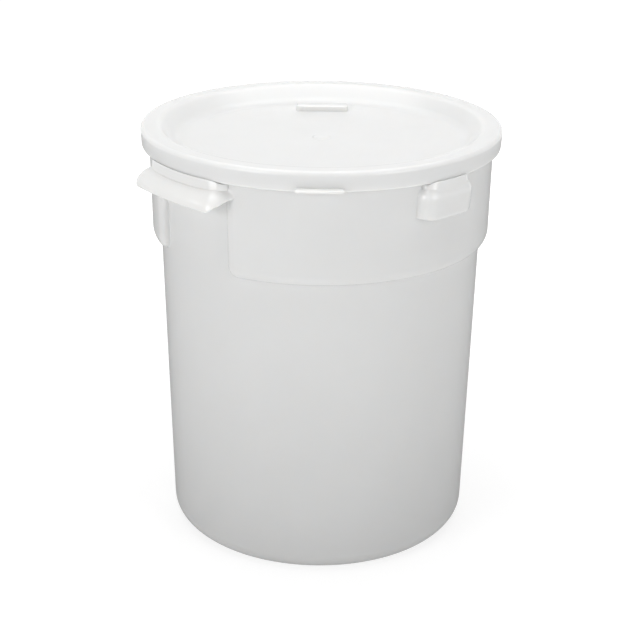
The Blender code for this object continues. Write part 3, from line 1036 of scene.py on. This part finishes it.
@dataclass(frozen=True)
class DishedLid:
    """The lid: dished panel, raised rim channel, skirt, plug ring, thumb tab and raised bar."""

    tub: TubForm = TubForm()
    plastic: Polyethylene = Polyethylene(
        "white_hdpe_lid", "#E7E7E6", "#E4E4E3", Gloss.SATIN)
    wall: float = 0.003
    gap: float = 0.0003
    skirt_clear: float = 0.0023
    skirt_depth: float = 0.0187
    skirt_rounding: float = 0.0052
    skirt_taper: float = 0.0011
    crest_rounding: float = 0.004
    bead_clear: float = 0.0004
    bead_height: float = 0.0045
    bead_ramp: float = 0.002
    dish_depth: float = 0.016
    dish_radius: float = 0.138
    dish_slope: float = math.radians(45)
    dish_fillet: float = 0.018
    crest_fillet: float = 0.009
    plug_clear: float = 0.0006
    plug_depth: float = 0.008
    plug_wall: float = 0.0022
    groove_depth: float = 0.0008
    tab_azimuth: float = math.radians(227.9)
    tab_width: float = 0.042
    tab_reach: float = 0.0065
    tab_thickness: float = 0.0034
    tab_lift: float = 0.0010
    bar_radius: float = 0.107
    bar_length: float = 0.052
    bar_width: float = 0.014
    bar_height: float = 0.0057
    gate_radius: float = 0.0075
    bar_rounding: tuple[float, float, float] = (0.0026, 0.0026, 0.0014)
    bar_cells: tuple[int, int, int] = (4, 12, 3)
    tab_rounding: tuple[float, float, float] = (0.0032, 0.0032, 0.0011)
    tab_cells: tuple[int, int, int] = (3, 16, 2)
    sunk: float = 0.002
    edge_rounding: float = 0.0006
    gate_height: float = 0.0005
    gate_slope: float = 0.0015
    gate_fillet: float = 0.001
    section_turn: float = math.radians(5)
    segments: int = 288

    @property
    def crest_top(self) -> float:
        """Height of the lid's crest."""
        return self.tub.height + self.gap + self.wall

    @property
    def panel_top(self) -> float:
        """Height of the dished panel's top face."""
        return self.crest_top - self.dish_depth

    @property
    def skirt_bottom(self) -> float:
        """Height of the skirt's lower edge."""
        return self.crest_top - self.skirt_depth

    @property
    def radius(self) -> float:
        """Outside radius of the skirt."""
        return self.tub.rim_radius + self.skirt_clear + self.wall

    def section(self) -> np.ndarray:
        """Draws the half section.

        Returns:
            Points (radius, height) from the middle of the top face round to that of the underside.
        """
        under = self.tub.height + self.gap
        crest_inside = self.dish_radius + self.dish_depth / math.tan(self.dish_slope)
        bead = self.tub.rim_radius + self.bead_clear
        skirt_inside = self.tub.rim_radius + self.skirt_clear
        plug = self.tub.mouth_radius - self.plug_clear
        groove = under - self.groove_depth
        below_dish = self.dish_radius + self.wall * math.tan(self.dish_slope / 2)
        below_panel = self.panel_top - self.wall
        groove_inside = below_dish + (groove - below_panel) / math.tan(self.dish_slope)
        small = self.edge_rounding
        return rounded_section([
            (0.0, self.panel_top + self.gate_height, 0),
            (self.gate_radius, self.panel_top + self.gate_height, self.gate_fillet),
            (self.gate_radius + self.gate_slope, self.panel_top, self.gate_fillet),
            (self.dish_radius, self.panel_top, self.dish_fillet),
            (crest_inside, self.crest_top, self.crest_fillet),
            (self.radius, self.crest_top, self.crest_rounding),
            (self.radius - self.skirt_taper, self.skirt_bottom, self.skirt_rounding),
            (bead, self.skirt_bottom, small),
            (bead, self.skirt_bottom + self.bead_height, small),
            (skirt_inside, self.skirt_bottom + self.bead_height + self.bead_ramp, small),
            (skirt_inside, under, small),
            (plug, under, small / 2),
            (plug, under - self.plug_depth, small),
            (plug - self.plug_wall, under - self.plug_depth, small),
            (plug - self.plug_wall, groove, small / 2),
            (groove_inside, groove, small),
            (below_dish, below_panel, self.dish_fillet + self.wall),
            (0.0, below_panel, 0)], self.section_turn)

    def thumb_tab(self) -> bpy.types.Object:
        """Builds the flat tab with rounded ends that stands out of the skirt's lower edge.

        Returns:
            The tab, with its root sunk in the skirt.
        """
        reach = self.tab_reach + self.sunk
        middle = self.radius + self.tab_reach - reach / 2
        height = self.skirt_bottom + self.tab_lift + self.tab_thickness / 2

        def place(point: np.ndarray) -> tuple[float, float, float]:
            """Bends the tab round the lid.

            Args:
                point: a point of the straight block, out, along and up.

            Returns:
                Its place.
            """
            radius = middle + point[0]
            angle = self.tab_azimuth + point[1] / self.radius
            return (radius * math.cos(angle), radius * math.sin(angle), height + point[2])

        half = (reach / 2, self.tab_width / 2, self.tab_thickness / 2)
        return rounded_block("thumb_tab", half, self.tab_rounding, self.tab_cells, place)

    def raised_bar(self) -> bpy.types.Object:
        """Builds the raised bar on the panel, square to the radius opposite the tab.

        Returns:
            The bar, with its foot sunk in the panel.
        """
        turn = Matrix.Rotation(self.tab_azimuth + math.pi, 3, "Z")
        height = self.bar_height + self.sunk
        middle = self.panel_top + self.bar_height - height / 2

        def place(point: np.ndarray) -> Vector:
            """Stands the bar on the panel."""
            return turn @ Vector((self.bar_radius + point[0], point[1], middle + point[2]))

        half = (self.bar_width / 2, self.bar_length / 2, height / 2)
        return rounded_block("raised_bar", half, self.bar_rounding, self.bar_cells, place)

    def build(self, turning: Turning) -> bpy.types.Object:
        """Builds the whole moulding in its plastic.

        Args:
            turning: the Geometry Nodes tree that turns the section.

        Returns:
            The lid.
        """
        plastic = self.plastic.material()
        lid = turning.make("lid_moulding", self.section(), self.segments, plastic)
        joined(lid, [self.thumb_tab(), self.raised_bar()])
        finish_piece(lid, plastic)
        return lid


def finish_piece(piece: bpy.types.Object, material: bpy.types.Material) -> None:
    """Gives a moulding its one material and smooth shading with sharp corners kept.

    Args:
        piece: the moulding, changed in place.
        material: its plastic.
    """
    piece.data.materials.clear()
    piece.data.materials.append(material)
    piece.data.shade_smooth()
    piece.data.set_sharp_from_angle(angle=SHARP_ANGLE)


@dataclass(frozen=True)
class Lamp:
    """A soft square lamp. Its place is right of, beyond and above the object, to the camera.

    One that doesn't gleam lights surfaces but isn't mirrored in them.
    """

    name: str
    place: tuple[float, float, float]
    size: float
    power: float
    gleams: bool = True


@dataclass(frozen=True)
class Studio:
    """Camera, white floor and soft lights."""

    camera_azimuth: float = math.radians(228.2)
    camera_distance: float = 1.376
    camera_height: float = 0.7647
    camera_aside: float = 0.0006
    pitch: float = math.radians(22.24)
    roll: float = 0.0109
    focal_pixels: float = 1476.8
    image_pixels: int = 640
    sensor: float = 36.0
    near_clip: float = 0.01
    far_clip: float = 50.0
    aim_height: float = 0.25
    floor_size: float = 14.0
    paper: str = "#A0A0A0"
    near_white: float = 0.74
    far_white: float = 1.0
    # Painted light: the floor glows to the rays that light things, dimmer near the object as
    # painted shade.
    dim_radius: float = 0.15
    bright_radius: float = 0.95
    near_glow: float = 0.32
    far_glow: float = 0.96
    # Painted reflection: the glow of a sheet that only reflections see.
    painted_reflection_strength: float = 0.33
    card_size: float = 3.0
    card_height: float = 0.0005
    room: float = 0.2
    lamps: tuple[Lamp, ...] = (
        Lamp("overhead_softbox", (0.0, 0.1, 1.4), 1.2, 11.8),
        Lamp("left_softbox", (-0.8, -0.9, 0.6), 0.5, 4.2),
        Lamp("right_softbox", (0.8, -0.9, 0.6), 0.5, 3.2),
        Lamp("back_softbox", (0.0, 1.3, 0.4), 0.5, 3.2, gleams=False),
        Lamp("high_glint", (-0.42, -1.12, 1.58), 0.09, 0.5),
        Lamp("left_glint", (-1.67, -0.2, 0.76), 0.09, 0.5),
        Lamp("right_glint", (1.55, -0.71, 0.79), 0.09, 0.4),
    )

    def axes(self) -> tuple[Vector, Vector, Vector]:
        """Finds the camera's level forward direction, its right and straight up."""
        forward = -Vector((math.cos(self.camera_azimuth), math.sin(self.camera_azimuth), 0))
        return forward, forward.cross(Vector((0, 0, 1))), Vector((0, 0, 1))

    def camera(self) -> None:
        """Sets the camera that took the photograph."""
        forward, right, up = self.axes()
        ahead = forward * math.cos(self.pitch) - up * math.sin(self.pitch)
        above = forward * math.sin(self.pitch) + up * math.cos(self.pitch)
        across = right * math.cos(self.roll) + above * math.sin(self.roll)
        over = above * math.cos(self.roll) - right * math.sin(self.roll)
        data = bpy.data.cameras.new("Camera")
        data.sensor_width = self.sensor
        data.lens = self.focal_pixels / self.image_pixels * self.sensor
        data.clip_start, data.clip_end = self.near_clip, self.far_clip
        made = bpy.data.objects.new("Camera", data)
        place = (
            -forward * self.camera_distance + right * self.camera_aside + up * self.camera_height)
        turn = Matrix((across, over, -ahead)).transposed()
        made.matrix_world = Matrix.Translation(place) @ turn.to_4x4()
        bpy.context.scene.collection.objects.link(made)
        bpy.context.scene.camera = made

    def hang(self, lamp: Lamp) -> None:
        """Adds one lamp, aimed at the object's middle.

        Args:
            lamp: the lamp.
        """
        forward, right, up = self.axes()
        data = bpy.data.lights.new(lamp.name, "AREA")
        data.shape = "SQUARE"
        data.size = lamp.size
        data.energy = lamp.power
        made = bpy.data.objects.new(lamp.name, data)
        made.location = right * lamp.place[0] + forward * lamp.place[1] + up * lamp.place[2]
        aim = Vector((0, 0, self.aim_height)) - made.location
        made.rotation_euler = aim.to_track_quat("-Z", "Y").to_euler()
        made.visible_camera = False
        made.visible_glossy = lamp.gleams
        bpy.context.scene.collection.objects.link(made)

    @staticmethod
    def shows_white(tree: bpy.types.NodeTree) -> bpy.types.NodeSocket:
        """Adds nodes that tell the rays that are shown white from the rays that light things.

        Args:
            tree: the node tree.

        Returns:
            A socket with 1 for camera, glossy and transmission rays, and 0 for the rest.
        """
        path = add_node(tree, "ShaderNodeLightPath")
        first = add_node(tree, "ShaderNodeMath", {"operation": "MAXIMUM"}, {
            0: path.outputs["Is Camera Ray"], 1: path.outputs["Is Glossy Ray"]})
        both = add_node(tree, "ShaderNodeMath", {"operation": "MAXIMUM"}, {
            0: first.outputs[0], 1: path.outputs["Is Transmission Ray"]})
        return both.outputs[0]

    def world(self) -> None:
        """Lights the room softly, and shows white to the camera and in reflections."""
        world = bpy.data.worlds.new("Studio")
        world.use_nodes = True
        tree = world.node_tree
        tree.nodes.clear()
        room = add_node(tree, "ShaderNodeBackground", None, {"Color": WHITE, "Strength": self.room})
        white = add_node(tree, "ShaderNodeBackground", None, {"Color": WHITE, "Strength": 1.0})
        shown = add_node(tree, "ShaderNodeMixShader", None, {
            0: self.shows_white(tree), 1: room.outputs[0], 2: white.outputs[0]})
        add_node(tree, "ShaderNodeOutputWorld", None, {"Surface": shown.outputs[0]})
        bpy.context.scene.world = world

    def sheet(self, name: str, half: float, height: float) -> bpy.types.Object:
        """Lays a flat square of paper or card on the floor, and stages it.

        Args:
            name: the sheet's name.
            half: half its width.
            height: how high it lies.

        Returns:
            The sheet.
        """
        corners = [(x * half, y * half, height) for x, y in ((-1, -1), (1, -1), (1, 1), (-1, 1))]
        mesh = bpy.data.meshes.new(name)
        mesh.from_pydata(corners, [], [(0, 1, 2, 3)])
        made = bpy.data.objects.new(name, mesh)
        bpy.context.scene.collection.objects.link(made)
        return made

    def floor(self) -> None:
        """Lays a matt white floor that keeps the object's shadow.

        Its far part glows, though no lamp lights it: painted light that lights the object softly
        from below. Close to the object the glow is dimmer: painted shade that stands for its shadow
        there.
        """
        # Uncoated paper off a roll: it has no gloss, so all that shows on it is the soft shadow.
        # Near the object the lamps bring it the rest of the way to white, and far off, where they
        # don't reach, it is shown at the strength of 1 that is white.
        material = bare_material("white_paper_sweep")
        tree = material.node_tree
        place = add_node(tree, "ShaderNodeTexCoord").outputs["Object"]
        away = add_node(tree, "ShaderNodeVectorMath", {"operation": "LENGTH"}, {0: place})
        # Painted light: to the rays that light things the floor glows, from near_glow by the object
        # (painted shade) up to far_glow far off; camera, glossy and transmission rays see the white
        # lift.
        glow, white = (
            add_node(tree, "ShaderNodeMapRange", {"interpolation_type": "SMOOTHSTEP"}, {
                "Value": away.outputs["Value"], "From Min": self.dim_radius,
                "From Max": self.bright_radius, "To Min": near, "To Max": far}).outputs[0]
            for near, far in (
                (self.near_glow, self.far_glow), (self.near_white, self.far_white)))
        strength = add_node(tree, "ShaderNodeMix", {"data_type": "FLOAT"}, {
            0: self.shows_white(tree), 2: glow, 3: white})
        paper = add_node(tree, "ShaderNodeBsdfDiffuse", None, {"Color": linear_colour(self.paper)})
        lift = add_node(tree, "ShaderNodeEmission", None, {
            "Color": WHITE, "Strength": strength.outputs[0]})
        both = add_node(tree, "ShaderNodeAddShader", None, {
            0: paper.outputs[0], 1: lift.outputs[0]})
        add_node(tree, "ShaderNodeOutputMaterial", None, {"Surface": both.outputs[0]})
        self.sheet("studio_floor", self.floor_size / 2, 0.0).data.materials.append(material)

    def card(self) -> None:
        """Lays a dim glowing sheet that only reflections see: a painted reflection for walls' dark
        edges.
        """
        # A sheet that glows at a flat, low strength, hidden from all but glossy rays: a painted
        # reflection.
        # It is mirrored where a wall turns away from the eye, so the sheen there goes grey and the
        # wall stands out from the white behind it.
        material = bare_material("painted_reflection_card")
        tree = material.node_tree
        tone = add_node(tree, "ShaderNodeEmission", None, {
            "Color": WHITE, "Strength": self.painted_reflection_strength})
        add_node(tree, "ShaderNodeOutputMaterial", None, {"Surface": tone.outputs[0]})
        card = self.sheet("painted_reflection_card", self.card_size / 2, self.card_height)
        card.data.materials.append(material)
        card.visible_camera = False
        card.visible_diffuse = False
        card.visible_transmission = False
        card.visible_shadow = False

    def build(self) -> None:
        """Sets up the whole studio."""
        self.camera()
        self.world()
        self.floor()
        self.card()
        for lamp in self.lamps:
            self.hang(lamp)
        bpy.context.scene.view_settings.view_transform = "Standard"


def main() -> None:
    """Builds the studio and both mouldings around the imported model."""
    logging.basicConfig(level=logging.INFO, format="%(name)s: %(message)s")
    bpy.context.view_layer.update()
    Studio().build()
    container = ContainerBody().build()
    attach(container, "container_body")
    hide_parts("container")
    LOG.info("%s: %d faces", container.name, len(container.data.polygons))
    lid = DishedLid().build(Turning())
    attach(lid, "lid_body")
    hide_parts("lid")
    LOG.info("%s: %d faces", lid.name, len(lid.data.polygons))


if __name__ == "__main__":
    main()
